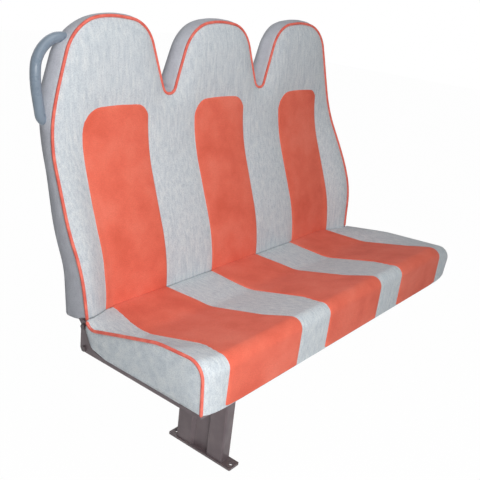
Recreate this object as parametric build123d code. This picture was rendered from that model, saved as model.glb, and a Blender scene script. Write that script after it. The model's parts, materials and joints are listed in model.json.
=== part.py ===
from build123d import *
from math import radians, sin, tan
import os

# Three-place bench seat: one upholstered back with three head lobes, one hinged cushion, a pedestal leg on
# the aisle side and a wall bracket on the other.
# Millimetres, +X to the wall, +Y to the rear, +Z up, floor at 0.

# Places and overall sizes
places = 3
pitch = 400.0
seat_front = -306.0
seat_depth = 423.0
frame_bottom = 293.0

# Steel seat frame, welded from rectangular tube
rail_height = 12.0
rail_width = 30.0
rail_wall = 1.5
rear_rail_width = 25.0
rear_rail_height = 20.0
rear_rail_setback = 14.0
bearer_width = 25.0
bearer_from_side = 46.0
leg_bearer_spread = 60.0
side_plate_inset = 13.0
side_plate_thickness = 4.0
side_plate_rise = 82.0
side_plate_curve = 56.0
side_corner_cut = 7.0
side_rear_margin = 3.0
strip_gap = 1.0
arm_gap = 4.0

# Pedestal leg, foot and floor holes
leg_from_place = 46.0
leg_behind_front = 118.0
leg_length = 159.0
leg_depth = 32.0
leg_sheet = 3.0
leg_corner = 5.0
groove_width = 59.0
groove_depth = 9.0
groove_slope = 7.0
groove_bend = 2.0
groove_fold = 1.0
foot_overhang_front = 32.0
foot_overhang_rear = 24.0
foot_width = 40.0
foot_thickness = 6.0
foot_corner = 4.0
floor_hole_radius = 5.5
floor_hole_from_end = 12.0
top_plate_width = 100.0
top_plate_thickness = 5.0
leg_bolt_from_end = 24.0

# Wall bracket on the far end
wall_gap = 11.0
bracket_sheet = 4.0
bracket_drop = 42.0
bracket_length = 160.0
wall_hole_radius = 4.5
wall_hole_spacing = 100.0
wall_hole_drop = 24.0
wall_bolt_from_stud = 42.5

# Bolts
bolt_radius = 4.0
bolt_head_radius = 7.5
bolt_head_height = 5.3
bolt_grip = 9.0
upper_bolt_drop = 15.0

# Cushion: board, foam, fabric cover with inserts, piping
cushion_overhang = 206.0
cushion_end_draw = 7.0
front_lean = 2.0
front_edge_radius = 4.0
nose_height = 135.0
nose_radius = 40.0
dish_behind_front = 286.0
dish_height = 78.0
dish_radius = 150.0
rear_height = 66.0
rear_top_radius = 10.0
rear_waist = 36.0
rear_waist_draw = 6.0
rear_waist_radius = 25.0
rear_bottom_run = 68.0
rear_bottom_radius = 12.0
cover_thickness = 2.0
insert_half_front = 137.0
insert_half_rear = 100.0
piping_size = 6.0
board_thickness = 9.0
board_margin = 15.0
board_rear_margin = 4.0

# Cushion hinges and press studs
hinge_x = 300.0
hinge_behind_front = 15.0
hinge_half_length = 60.0
knuckle_half = 30.0
knuckle_radius = 4.5
knuckle_gap = 0.5
hinge_pin_radius = 2.5
pin_play = 0.05
hinge_sheet = 2.0
leaf_reach = 35.0
stud_radius = 4.2
stud_length = 9.0
stud_play = 0.3
stud_from_board_rear = 25.0
grommet_wall = 2.5
grommet_height = 5.0

# Back: its foot, its outline seen from the front, its panels
back_above_frame = 61.0
junction_gap = 1.0
back_overhang = 207.0
back_foot_taper = 15.0
back_foot_radius = 20.0
back_widest_above_foot = 215.0
back_side_bulge = 3.0
back_side_radius = 500.0
back_taper_above_foot = 425.0
back_taper_in = 13.0
lobe_top_above_foot = 692.0
lobe_half_top = 117.0
lobe_shoulder_drop = 11.0
lobe_radius = 100.0
lobe_peak_over = 2.0
lobe_peak_radius = 330.0
notch_depth = 195.0
notch_half_bottom = 17.0
notch_radius = 21.0
wing_overhang = 105.0
wing_forward = 36.0
back_edge_round = 15.0
back_edge_draw = 7.0
piping_end_above_foot = 8.0
back_insert_half = 108.0
back_insert_below_notch = 13.0
back_insert_radius = 42.0
rear_panel_thickness = 2.5
rear_panel_margin = 14.0

# Back frame, welded from round tube
tube_radius = 9.0
cross_tube_radius = 8.0
mid_tube_radius = 7.0
tube_wall = 1.5
tube_bend = 90.0
tube_below_lobe = 44.0
cross_below_notch = 47.0
hoop_half_width = 80.0
hoop_below_lobe = 72.0
hoop_bend = 40.0
hoop_radius = 5.0
back_foot_sheet = 4.0
back_foot_end = 10.0
back_foot_rim = 4.0

# Grab handle on the aisle side
handle_radius = 12.5
handle_wall = 2.0
handle_out = 7.5
handle_behind_foot = 149.0
handle_below_lobe = 55.0
handle_height = 191.0
handle_straight = 98.0
handle_lean_in = 17.5
handle_top_bend = 62.0
handle_lean_bend = 250.0
handle_bottom_bend = 20.0

# Places worked out from the sizes above
place_centres = [pitch * (i - (places - 1) / 2) for i in range(places)]
last_place = place_centres[-1]
frame_top = frame_bottom + rail_height
seat_rear = seat_front + seat_depth
cushion_half_width = last_place + cushion_overhang
back_half_width = last_place + back_overhang
wing_start = last_place + wing_overhang
wing_full = back_half_width - back_edge_round
back_y = seat_rear + piping_size / 2 + junction_gap
back_z = frame_top + back_above_frame
lobe_top = back_z + lobe_top_above_foot
notch_bottom = lobe_top - notch_depth
back_front_limit = back_y - 2 * wing_forward
back_rear_limit = back_y + lobe_top_above_foot / 2
side_plate_x = cushion_half_width - side_plate_inset
outer_bearer_x = side_plate_x - bearer_from_side
leg_x = place_centres[0] + leg_from_place
leg_front = seat_front + leg_behind_front
leg_rear = leg_front + leg_length
leg_middle = (leg_front + leg_rear) / 2
wall_plane = back_half_width + wall_gap
hinge_y = seat_front + hinge_behind_front
hinge_z = frame_top - knuckle_radius - knuckle_gap
front_rail_y = hinge_y + knuckle_radius + knuckle_gap
rear_rail_y = seat_rear - rear_rail_setback - rear_rail_width
board_rear = seat_rear - wing_forward - rear_bottom_run - board_rear_margin

# The lines that shape the back's depth: (behind its foot, above its foot, radius of the bend there)
line_top = lobe_top_above_foot + 2 * piping_size
dish_line = [(0.0, 0.0, 0.0), (3.0, 89.0, 500.0), (109.0, 369.0, 500.0), (129.0, line_top, 0.0)]
wing_line = [(-wing_forward, 0.0, 0.0), (15.0 - wing_forward, 134.0, 320.0),
             (113.0, 409.0, 320.0), (129.0, line_top, 0.0)]
rear_line = [(47.0, 0.0, 0.0), (51.0, 149.0, 320.0), (191.0, 484.0, 300.0), (194.0, line_top, 0.0)]

# The centre line of the back's tubes: (behind its foot, above its foot)
tube_top = lobe_top_above_foot - tube_below_lobe
tube_line = [(25.0, 45.0), (30.5, 130.0), (123.5, 369.0), (158.0, 500.0), (162.0, tube_top)]


def save(node, shape):
    """Writes one node, a single solid or a list of separate solids."""
    if isinstance(shape, list):
        shape = Compound(children=shape)
    export_step(shape, "parts/" + node + ".step")


def solid(shape):
    """The one solid of a boolean's result."""
    return max(shape.solids(), key=lambda piece: piece.volume)


def block(x0, x1, y0, y1, z0, z1):
    """A box between two corners."""
    return Pos((x0 + x1) / 2, (y0 + y1) / 2, (z0 + z1) / 2) * Box(x1 - x0, y1 - y0, z1 - z0)


def rod(start, end, radius):
    """A round bar between two points."""
    run = Vector(*end) - Vector(*start)
    place = Plane(origin=start, z_dir=run)
    return place * Cylinder(radius, run.length, align=(Align.CENTER, Align.CENTER, Align.MIN))


def rounded_face(corners):
    """A flat face through corners (u, v, radius): straight runs joined by tangent arcs."""
    bends = []
    for i, (u, v, radius) in enumerate(corners):
        here = Vector(u, v)
        before = (Vector(*corners[i - 1][:2]) - here).normalized()
        after = (Vector(*corners[(i + 1) % len(corners)][:2]) - here).normalized()
        half = radians(before.get_angle(after) / 2)
        reach = radius / tan(half)
        middle = here + (before + after).normalized() * (radius / sin(half) - radius)
        bends.append((here + before * reach, middle, here + after * reach, radius))
    edges = []
    for i, (start, middle, end, radius) in enumerate(bends):
        if radius > 0:
            edges.append(ThreePointArc(start, middle, end))
        edges.append(Line(end, bends[(i + 1) % len(bends)][0]))
    return make_face(edges)


def across(x):
    """The plane square to X at x, with Y to its right and Z up."""
    return Plane(origin=(x, 0, 0), x_dir=(0, 1, 0), z_dir=(1, 0, 0))


def facing_front(outline, y0, y1):
    """An outline drawn in X and Z, made solid from y0 to y1."""
    front = Plane(origin=(0, y1, 0), x_dir=(1, 0, 0), z_dir=(0, -1, 0))
    return extrude(front * outline, y1 - y0)


def box_tube_x(x0, x1, y0, width, z0, height):
    """Rectangular tube along X."""
    outer = block(x0, x1, y0, y0 + width, z0, z0 + height)
    inner = block(x0, x1, y0 + rail_wall, y0 + width - rail_wall,
                  z0 + rail_wall, z0 + height - rail_wall)
    return outer - inner


def box_tube_y(x0, width, y0, y1, z0, height):
    """Rectangular tube along Y."""
    outer = block(x0, x0 + width, y0, y1, z0, z0 + height)
    inner = block(x0 + rail_wall, x0 + width - rail_wall, y0, y1,
                  z0 + rail_wall, z0 + height - rail_wall)
    return outer - inner


def bolt(place):
    """A flanged hexagon bolt along the plane's normal, its head on the outside and its shank going in."""
    head = extrude(RegularPolygon(bolt_head_radius, 6), bolt_head_height)
    shank = Cylinder(bolt_radius, bolt_grip, align=(Align.CENTER, Align.CENTER, Align.MAX))
    return place * (head + shank)


def bent_bar(path, radius):
    """Round bar swept along a path of straight runs and arcs."""
    start = Plane(origin=path @ 0, z_dir=path % 0)
    return sweep(start * Circle(radius), path)


def bent_tube(path, radius, wall):
    """Round tube swept along a path of straight runs and arcs."""
    return bent_bar(path, radius) - bent_bar(path, radius - wall)


# Seat frame
front_rail = box_tube_x(-side_plate_x, side_plate_x, front_rail_y, rail_width, frame_bottom, rail_height)
rear_rail = box_tube_x(-side_plate_x, side_plate_x, rear_rail_y, rear_rail_width,
                       frame_bottom, rear_rail_height)
leg_bearer_half = leg_bearer_spread / 2
bearer_centres = [-outer_bearer_x, leg_x - leg_bearer_half, leg_x + leg_bearer_half, outer_bearer_x]
bearer_front = front_rail_y + rail_width
stud_y = board_rear - stud_from_board_rear
stud_hole_radius = stud_radius + stud_play + grommet_wall
leg_bolt_rows = [leg_front + leg_bolt_from_end, leg_rear - leg_bolt_from_end]
wall_bolt_rear = stud_y - wall_bolt_from_stud
wall_bolt_rows = [wall_bolt_rear - wall_hole_spacing, wall_bolt_rear]


def bearer(x):
    """A bearer between the rails, drilled for what fastens to it from below."""
    tube = box_tube_y(x - bearer_width / 2, bearer_width, bearer_front, rear_rail_y,
                      frame_bottom, rail_height)
    if abs(x) == outer_bearer_x:
        tube -= rod((x, stud_y, frame_top - rail_height / 2), (x, stud_y, frame_top), stud_hole_radius)
    rows = wall_bolt_rows if x == outer_bearer_x else leg_bolt_rows
    if x > -outer_bearer_x:
        for y in rows:
            tube -= rod((x, y, frame_bottom), (x, y, frame_bottom + rail_height / 2), bolt_radius)
    return tube


bearers = [bearer(x) for x in bearer_centres]

# Side plates: a strip under the cushion's end that rises behind it to carry the back
arm_rear = rear_rail_y + rear_rail_width + side_rear_margin
arm_front = seat_rear - wing_forward + arm_gap
arm_top = frame_bottom + side_plate_rise
lower_bolt = (rear_rail_y + rear_rail_width / 2, frame_bottom + rear_rail_height / 2)
upper_bolt = ((arm_front + arm_rear) / 2, arm_top - upper_bolt_drop)


def side_plate(sign):
    """One side plate, in the plane square to X."""
    outline = rounded_face([
        (front_rail_y, frame_bottom, 0),
        (arm_rear - side_corner_cut, frame_bottom, 0),
        (arm_rear, frame_bottom + side_corner_cut, 0),
        (arm_rear, arm_top, 0),
        (arm_front, arm_top, 0),
        (arm_front, frame_top - strip_gap, side_plate_curve),
        (front_rail_y, frame_top - strip_gap, 0),
    ])
    plate = extrude(across(sign * side_plate_x) * outline, sign * side_plate_thickness)
    outside = sign * (side_plate_x + side_plate_thickness)
    for y, z in (lower_bolt, upper_bolt):
        plate -= rod((sign * side_plate_x, y, z), (outside, y, z), bolt_radius)
    return plate


side_plates = {sign: side_plate(sign) for sign in (-1, 1)}
side_bolts = []
for sign in (-1, 1):
    for y, z in (lower_bolt, upper_bolt):
        outside = sign * (side_plate_x + side_plate_thickness)
        side_bolts.append(bolt(Plane(origin=(outside, y, z), x_dir=(0, 1, 0), z_dir=(sign, 0, 0))))

# Pedestal leg: a pressed channel, open to +X, with a groove down its web
leg_top = frame_bottom - top_plate_thickness
web = leg_x - leg_depth / 2
groove_front = leg_middle - groove_width / 2
groove_rear = leg_middle + groove_width / 2
leg_outer = [
    (leg_x + leg_depth / 2, leg_front, 0),
    (web, leg_front, leg_corner),
    (web, groove_front, groove_bend),
    (web + groove_depth, groove_front + groove_slope, groove_bend),
    (web + groove_depth, groove_rear - groove_slope, groove_bend),
    (web, groove_rear, groove_bend),
    (web, leg_rear, leg_corner),
    (leg_x + leg_depth / 2, leg_rear, 0),
]
leg_inner = [
    (leg_x + leg_depth / 2, leg_rear - leg_sheet, 0),
    (web + leg_sheet, leg_rear - leg_sheet, leg_corner - leg_sheet),
    (web + leg_sheet, groove_rear + groove_fold, groove_bend),
    (web + groove_depth + leg_sheet, groove_rear - groove_slope + groove_fold, groove_bend),
    (web + groove_depth + leg_sheet, groove_front + groove_slope - groove_fold, groove_bend),
    (web + leg_sheet, groove_front - groove_fold, groove_bend),
    (web + leg_sheet, leg_front + leg_sheet, leg_corner - leg_sheet),
    (leg_x + leg_depth / 2, leg_front + leg_sheet, 0),
]
leg_channel = extrude(rounded_face(leg_outer + leg_inner), leg_top - foot_thickness)
pedestal_leg = Pos(0, 0, foot_thickness) * leg_channel

foot_front = leg_front - foot_overhang_front
foot_rear = leg_rear + foot_overhang_rear
floor_holes = [foot_front + floor_hole_from_end, foot_rear - floor_hole_from_end]
foot_half = foot_width / 2
foot_plate = extrude(rounded_face([
    (leg_x - foot_half, foot_front, foot_corner),
    (leg_x + foot_half, foot_front, foot_corner),
    (leg_x + foot_half, foot_rear, foot_corner),
    (leg_x - foot_half, foot_rear, foot_corner),
]), foot_thickness)
for y in floor_holes:
    foot_plate -= rod((leg_x, y, 0), (leg_x, y, foot_thickness), floor_hole_radius)

top_plate_half = top_plate_width / 2
leg_top_plate = block(leg_x - top_plate_half, leg_x + top_plate_half, leg_front, leg_rear,
                      leg_top, frame_bottom)
leg_bolts = []
for x in bearer_centres[1:3]:
    for y in leg_bolt_rows:
        leg_top_plate -= rod((x, y, leg_top), (x, y, frame_bottom), bolt_radius)
        leg_bolts.append(bolt(Plane(origin=(x, y, leg_top), z_dir=(0, 0, -1))))

# Wall bracket: an angle under the far bearer, drilled for two wall bolts
bracket_middle = sum(wall_bolt_rows) / 2
bracket_front = bracket_middle - bracket_length / 2
bracket_rear = bracket_middle + bracket_length / 2
bracket_inner = outer_bearer_x - bearer_width / 2
bracket_bottom = frame_bottom - bracket_drop
bracket_under = frame_bottom - bracket_sheet
bracket_face = wall_plane - bracket_sheet
wall_bracket = block(bracket_inner, wall_plane, bracket_front, bracket_rear, bracket_under, frame_bottom)
wall_bracket += block(bracket_face, wall_plane, bracket_front, bracket_rear, bracket_bottom, frame_bottom)
wall_hole_z = frame_bottom - wall_hole_drop
wall_bolts = []
for y in wall_bolt_rows:
    wall_bracket -= rod((bracket_face, y, wall_hole_z), (wall_plane, y, wall_hole_z), wall_hole_radius)
    wall_bracket -= rod((outer_bearer_x, y, bracket_under), (outer_bearer_x, y, frame_bottom), bolt_radius)
    wall_bolts.append(bolt(Plane(origin=(outer_bearer_x, y, bracket_under), z_dir=(0, 0, -1))))


def along(line):
    """A line of the back, moved to its place: (y, z, radius) corners."""
    return [(back_y + y, back_z + z, radius) for y, z, radius in line]


def depth_section(x, front_line, inset, draw, shift):
    """The back's section square to X, between a front line and the rear line."""
    front = [(y + inset + draw + shift, z, radius) for y, z, radius in along(front_line)]
    rear = [(y - inset - draw + shift, z, radius) for y, z, radius in along(rear_line)]
    return across(x) * rounded_face(front + rear[::-1])


def back_slab(inset=0.0, shift=0.0):
    """The back's depth, before its outline is cut: flat in the middle, coming forward to both ends."""
    sections = []
    end = back_half_width + piping_size
    for sign in (-1, 1):
        side = [
            depth_section(sign * end, wing_line, inset, back_edge_draw, shift),
            depth_section(sign * wing_full, wing_line, inset, 0.0, shift),
            depth_section(sign * wing_start, dish_line, inset, 0.0, shift),
        ]
        sections += side if sign < 0 else side[::-1]
    return loft(sections, ruled=True)


def back_outline():
    """The back seen from the front: a broad foot, sides that taper, three lobes and the notches between."""
    right = [
        (back_half_width - back_foot_taper, back_z, back_foot_radius),
        (back_half_width + back_side_bulge, back_z + back_widest_above_foot, back_side_radius),
        (back_half_width - back_taper_in, back_z + back_taper_above_foot, back_side_radius),
    ]
    crown = []
    for centre in place_centres[::-1]:
        crown += [
            (centre + lobe_half_top, lobe_top - lobe_shoulder_drop, lobe_radius),
            (centre, lobe_top + lobe_peak_over, lobe_peak_radius),
            (centre - lobe_half_top, lobe_top - lobe_shoulder_drop, lobe_radius),
        ]
        if centre > place_centres[0]:
            notch = centre - pitch / 2
            crown += [(notch + notch_half_bottom, notch_bottom, notch_radius),
                      (notch - notch_half_bottom, notch_bottom, notch_radius)]
    left = [(-x, z, radius) for x, z, radius in right[::-1]]
    return rounded_face(right + crown + left)


def back_prism(grow):
    """The outline, grown or shrunk, as a solid right through the back."""
    outline = back_outline() if grow == 0 else offset(back_outline(), grow)
    return facing_front(outline, back_front_limit, back_rear_limit)


# Back upholstery
outer_back = solid(back_slab() & back_prism(0))
inner_back = solid(back_slab(cover_thickness) & back_prism(-cover_thickness))
piping_ring = back_prism(piping_size / 2) - back_prism(-piping_size / 2)
piping_band = back_slab(0, -piping_size / 2) - back_slab(0, piping_size / 2)
piping_cut = block(-back_half_width, back_half_width, back_front_limit, back_rear_limit,
                   back_z - piping_size, back_z + piping_end_above_foot)
back_piping = solid((piping_ring & piping_band) - piping_cut)

skin = outer_back - inner_back
behind_front = back_slab(0, 2 * piping_size)


def back_insert(centre):
    """One coloured panel: the front skin inside its outline, rounded at the top."""
    low = back_z - piping_size
    high = notch_bottom - back_insert_below_notch
    outline = rounded_face([
        (centre - back_insert_half, low, 0),
        (centre + back_insert_half, low, 0),
        (centre + back_insert_half, high, back_insert_radius),
        (centre - back_insert_half, high, back_insert_radius),
    ])
    panel = skin & facing_front(outline, back_front_limit, back_rear_limit)
    return solid((panel - behind_front) - back_piping)


back_inserts = [back_insert(centre) for centre in place_centres]

# Back frame
tube_points = [(back_y + y, back_z + z) for y, z in tube_line]


def tube_y(z):
    """Where the uprights' centre line is at a height on one of its straight runs."""
    for (y0, z0), (y1, z1) in zip(tube_points, tube_points[1:]):
        if z0 <= z <= z1:
            return y0 + (y1 - y0) * (z - z0) / (z1 - z0)


def upright_path(x):
    """The centre line of an upright, which follows the back's depth."""
    return FilletPolyline(*[(x, y, z) for y, z in tube_points], radius=tube_bend)


low_cross_y, low_cross_z = tube_points[0]
high_cross_z = notch_bottom - cross_below_notch
high_cross_y = tube_y(high_cross_z)
cross_end = side_plate_x - back_foot_sheet
low_ends = [(sign * cross_end, low_cross_y, low_cross_z) for sign in (-1, 1)]
high_ends = [(sign * wing_start, high_cross_y, high_cross_z) for sign in (-1, 1)]
low_cross_bar = rod(*low_ends, tube_radius)
low_cross = low_cross_bar - rod(*low_ends, tube_radius - tube_wall)
high_cross_bar = rod(*high_ends, cross_tube_radius)
high_cross = high_cross_bar - rod(*high_ends, cross_tube_radius - tube_wall)
uprights = {}
upright_bars = {}
for sign in (-1, 1):
    path = upright_path(sign * wing_start)
    uprights[sign] = solid(bent_tube(path, tube_radius, tube_wall) - low_cross_bar)
    upright_bars[sign] = bent_bar(path, tube_radius)
    high_cross = solid(high_cross - upright_bars[sign])

mid_upright_x = pitch / 2
mid_uprights = []
for sign in (-1, 1):
    x = sign * mid_upright_x
    window = block(x - pitch / 4, x + pitch / 4, back_front_limit, back_rear_limit, low_cross_z, high_cross_z)
    tube = bent_tube(upright_path(x), mid_tube_radius, tube_wall)
    mid_uprights.append(solid((tube & window) - low_cross_bar - high_cross_bar))


def head_hoop(centre):
    """A bent rod that holds one head lobe up from the upper cross tube."""
    top = lobe_top - hoop_below_lobe
    left = centre - hoop_half_width
    right = centre + hoop_half_width
    corners = [(left, high_cross_z), (left, top), (right, top), (right, high_cross_z)]
    path = FilletPolyline(*[(x, high_cross_y, z) for x, z in corners], radius=hoop_bend)
    return solid(bent_bar(path, hoop_radius) - high_cross_bar)


head_hoops = [head_hoop(centre) for centre in place_centres]


def back_foot(sign):
    """A plate on the lower cross tube's end, bolted to the inside of the side plate."""
    bolt_end = Pos(*upper_bolt) * Circle(back_foot_end)
    tube_end = Pos(low_cross_y, low_cross_z) * Circle(tube_radius + back_foot_rim)
    shape = make_hull(bolt_end.edges() + tube_end.edges())
    plate = extrude(across(sign * cross_end) * shape, sign * back_foot_sheet)
    return plate - rod((sign * cross_end, *upper_bolt), (sign * side_plate_x, *upper_bolt), bolt_radius)


back_feet = {sign: back_foot(sign) for sign in (-1, 1)}

# Grab handle: a tube beside the aisle-side lobe, bowed in towards its foot, both ends welded to the upright
handle_y = back_y + handle_behind_foot
handle_x = back_half_width + handle_out
handle_top = lobe_top - handle_below_lobe
handle_bottom = handle_top - handle_height
handle_corners = [
    (-wing_start, handle_y, handle_top),
    (-handle_x, handle_y, handle_top),
    (-handle_x, handle_y, handle_top - handle_straight),
    (handle_lean_in - handle_x, handle_y, handle_bottom),
    (-wing_start, handle_y, handle_bottom),
]
handle_path = FilletPolyline(*handle_corners, radius=[handle_top_bend, handle_lean_bend, handle_bottom_bend])
handle_bar = solid(bent_bar(handle_path, handle_radius) - upright_bars[-1])
grab_handle = solid(bent_tube(handle_path, handle_radius, handle_wall) - upright_bars[-1])

# Rear panel under the cover, and the foam round the frame
panel_zone = back_slab(cover_thickness) - back_slab(cover_thickness, -rear_panel_thickness)
rear_panel = solid(panel_zone & back_prism(-rear_panel_margin))
bars = [handle_bar, low_cross_bar, high_cross_bar, *upright_bars.values()]
back_foam = inner_back
for tool in [back_piping, rear_panel, *bars, *mid_uprights, *head_hoops, *back_feet.values()]:
    back_foam = solid(back_foam - tool)
back_cover = skin
for tool in [handle_bar, back_piping, *back_inserts, *back_feet.values()]:
    back_cover = solid(back_cover - tool)


def cushion_section(x, inset, draw, wing):
    """The cushion's section square to X: upright front, round nose, dished top, rounded rear."""
    front = seat_front + inset + draw
    rear = seat_rear - inset - wing - draw / 2
    low = frame_top
    lift = inset + draw / 2
    return across(x) * rounded_face([
        (front + front_lean, low, front_edge_radius),
        (rear - rear_bottom_run, low, rear_bottom_radius),
        (rear - rear_waist_draw, low + rear_waist - lift / 2, rear_waist_radius),
        (rear, low + rear_height - lift, rear_top_radius),
        (seat_front + dish_behind_front, low + dish_height - lift, dish_radius),
        (front, low + nose_height - lift, nose_radius),
    ])


def cushion_body(inset):
    """The whole cushion: its ends drawn in, its rear edge following the back."""
    end = cushion_half_width - inset
    sections = []
    for sign in (-1, 1):
        side = [
            cushion_section(sign * end, inset, cushion_end_draw, wing_forward),
            cushion_section(sign * wing_full, inset, 0.0, wing_forward),
            cushion_section(sign * wing_start, inset, 0.0, 0.0),
        ]
        sections += side if sign < 0 else side[::-1]
    return loft(sections, ruled=True)


# Cushion upholstery
outer_cushion = cushion_body(0.0)
inner_cushion = cushion_body(cover_thickness)
cushion_skin = outer_cushion - inner_cushion


def seat_insert(centre):
    """One coloured panel over the top and the front, wider to the front."""
    corners = [
        (centre - insert_half_front, seat_front),
        (centre + insert_half_front, seat_front),
        (centre + insert_half_rear, seat_rear),
        (centre - insert_half_rear, seat_rear),
    ]
    outline = Polygon(*corners, align=None)
    above = Pos(0, 0, frame_top) * extrude(outline, 2 * nose_height)
    return solid(cushion_skin & above)


seat_inserts = [seat_insert(centre) for centre in place_centres]


def seat_piping(sign):
    """Piping round the end's front and upper edge."""
    face = cushion_section(0, 0.0, cushion_end_draw, wing_forward)
    ring = offset(face, piping_size / 2) - offset(face, -piping_size / 2)
    x = cushion_half_width - piping_size / 2
    bead = Pos(sign * x, 0, 0) * extrude(ring, piping_size / 2, both=True)
    keep = block(-2 * x, 2 * x, seat_front - nose_height, seat_rear - wing_forward - rear_waist / 2,
                 frame_top, frame_top + 2 * nose_height)
    low_rear = block(-2 * x, 2 * x, seat_front + nose_height / 2, seat_rear,
                     frame_top - piping_size, frame_top + rear_waist)
    return solid((bead & keep) - low_rear)


seat_pipings = {sign: seat_piping(sign) for sign in (-1, 1)}

# Cushion hinges
board_half = cushion_half_width - board_margin
seat_board = block(-board_half, board_half, seat_front + board_margin, board_rear,
                   frame_top, frame_top + board_thickness)
hinge_pins = []
frame_leaves = []
cushion_leaves = []
leaf_front = hinge_y - knuckle_radius
leaf_top = frame_top + hinge_sheet
for x in (-hinge_x, hinge_x):
    ends = [(x + sign * hinge_half_length, hinge_y, hinge_z) for sign in (-1, 1)]
    middle = [(x + sign * knuckle_half, hinge_y, hinge_z) for sign in (-1, 1)]
    window = [(x + sign * (knuckle_half + knuckle_gap), hinge_y, hinge_z) for sign in (-1, 1)]
    left = x - hinge_half_length
    right = x + hinge_half_length
    pin_hole = rod(*ends, hinge_pin_radius + pin_play)
    hinge_pins.append(rod(*ends, hinge_pin_radius))
    fixed = rod(*ends, knuckle_radius)
    fixed += block(left, right, front_rail_y - hinge_sheet, front_rail_y, frame_bottom, hinge_z)
    frame_leaves.append(solid(fixed - rod(*window, knuckle_radius + knuckle_gap) - pin_hole))
    moving = rod(*middle, knuckle_radius)
    moving += block(x - knuckle_half, x + knuckle_half, leaf_front, leaf_front + hinge_sheet,
                    hinge_z, leaf_top)
    moving += block(left, right, leaf_front, hinge_y + leaf_reach, frame_top, leaf_top)
    cushion_leaves.append(solid(moving - pin_hole))

# Press studs under the board, in rubber grommets in the outer bearers
studs = []
grommets = []
for x in (-outer_bearer_x, outer_bearer_x):
    top = (x, stud_y, frame_top)
    studs.append(rod((x, stud_y, frame_top - stud_length), top, stud_radius))
    collar_foot = (x, stud_y, frame_top - grommet_height)
    grommets.append(rod(collar_foot, top, stud_hole_radius) - rod(collar_foot, top, stud_radius + stud_play))

for leaf in cushion_leaves:
    seat_board = solid(seat_board - leaf)
seat_foam = inner_cushion - seat_board
for leaf in cushion_leaves + list(seat_pipings.values()):
    seat_foam = solid(seat_foam - leaf)
seat_cover = cushion_skin
for tool in seat_inserts + list(seat_pipings.values()) + cushion_leaves:
    seat_cover = seat_cover - tool

# Nodes
sides = {-1: "left", 1: "right"}
save("foot_plate", foot_plate)
save("pedestal_leg", pedestal_leg)
save("leg_top_plate", leg_top_plate)
save("leg_bolts", leg_bolts)
save("front_rail", front_rail)
save("rear_rail", rear_rail)
for number, tube in enumerate(bearers, 1):
    save("seat_bearer_" + str(number), tube)
save("wall_bracket", wall_bracket)
save("wall_bracket_bolts", wall_bolts)
save("side_plate_bolts", side_bolts)
save("back_cross_tube_lower", low_cross)
save("back_cross_tube_upper", high_cross)
for sign, side in sides.items():
    save("side_plate_" + side, side_plates[sign])
    save("back_foot_" + side, back_feet[sign])
    save("back_upright_" + side, uprights[sign])
    save("back_mid_upright_" + side, mid_uprights[0 if sign < 0 else 1])
    save("seat_piping_" + side, seat_pipings[sign])
for number in range(places):
    save("head_hoop_" + str(number + 1), head_hoops[number])
    save("back_insert_" + str(number + 1), back_inserts[number])
    save("seat_insert_" + str(number + 1), seat_inserts[number])
save("back_rear_panel", rear_panel)
save("back_foam", back_foam)
save("back_cover", back_cover)
save("back_piping", back_piping)
save("grab_handle", grab_handle)
save("hinge_pins", hinge_pins)
save("hinge_leaves_frame", frame_leaves)
save("hinge_leaves_cushion", cushion_leaves)
save("stud_grommets", grommets)
save("board_studs", studs)
save("seat_board", seat_board)
save("seat_foam", seat_foam)
save("seat_cover", seat_cover)
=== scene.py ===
import json
import math

import bpy
import numpy as np
from mathutils import Matrix


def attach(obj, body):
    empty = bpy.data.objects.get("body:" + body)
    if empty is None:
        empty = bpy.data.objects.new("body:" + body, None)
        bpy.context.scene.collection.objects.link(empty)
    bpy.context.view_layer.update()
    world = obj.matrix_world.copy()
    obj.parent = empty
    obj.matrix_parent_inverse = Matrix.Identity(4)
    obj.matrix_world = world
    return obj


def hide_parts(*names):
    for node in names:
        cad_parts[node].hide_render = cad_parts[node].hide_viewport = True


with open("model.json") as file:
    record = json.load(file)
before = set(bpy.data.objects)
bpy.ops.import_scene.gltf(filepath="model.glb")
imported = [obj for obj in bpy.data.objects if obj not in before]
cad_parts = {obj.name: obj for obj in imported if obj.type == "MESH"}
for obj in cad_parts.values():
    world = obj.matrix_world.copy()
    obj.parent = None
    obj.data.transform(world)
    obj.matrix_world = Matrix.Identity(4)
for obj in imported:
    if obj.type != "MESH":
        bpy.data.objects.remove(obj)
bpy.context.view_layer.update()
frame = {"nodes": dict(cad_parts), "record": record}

# Upholstery of a three-place bench seat. Lengths are in millimetres until a mesh is made. The aisle end is at -X
# and the wall end at +X. A line's corners are (u, v, radius), and a radius of 0 is a point.
MM = 0.001
PLACES = (-400.0, 0.0, 400.0)
ARC_STEPS = 24
SKIN_SPACING = 7.0

# Back: its foot and its outline seen from the front
BACK_Y = 121.0
BACK_Z = 366.0
FOOT_X = 592.0
LEFT_FOOT_ROUND = 3.0
RIGHT_FOOT_ROUND = 12.0
SIDE_LINE = [(610, 581, 500), (594, 791, 500)]
SHOULDER_Z = 1000.0
HEAD_TOP = 1058.0
HEAD_CROWN = 2.0
HEAD_CROWN_ROUND = 330.0
HEAD_CORNER_X = 117.0
HEAD_CORNER_FALL = 11.0
# Each head from the aisle to the wall: how far its top is lower, and the rounds of its left and right corners
HEADS = ((0.0, 118.0, 92.0), (5.0, 115.0, 100.0), (0.0, 100.0, 100.0))
NOTCH_CORNERS = (182.0, 218.0)
NOTCH_BOTTOM = 865.0
NOTCH_ROUND = 22.0
OUTLINE_SPACING = 4.0

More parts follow.
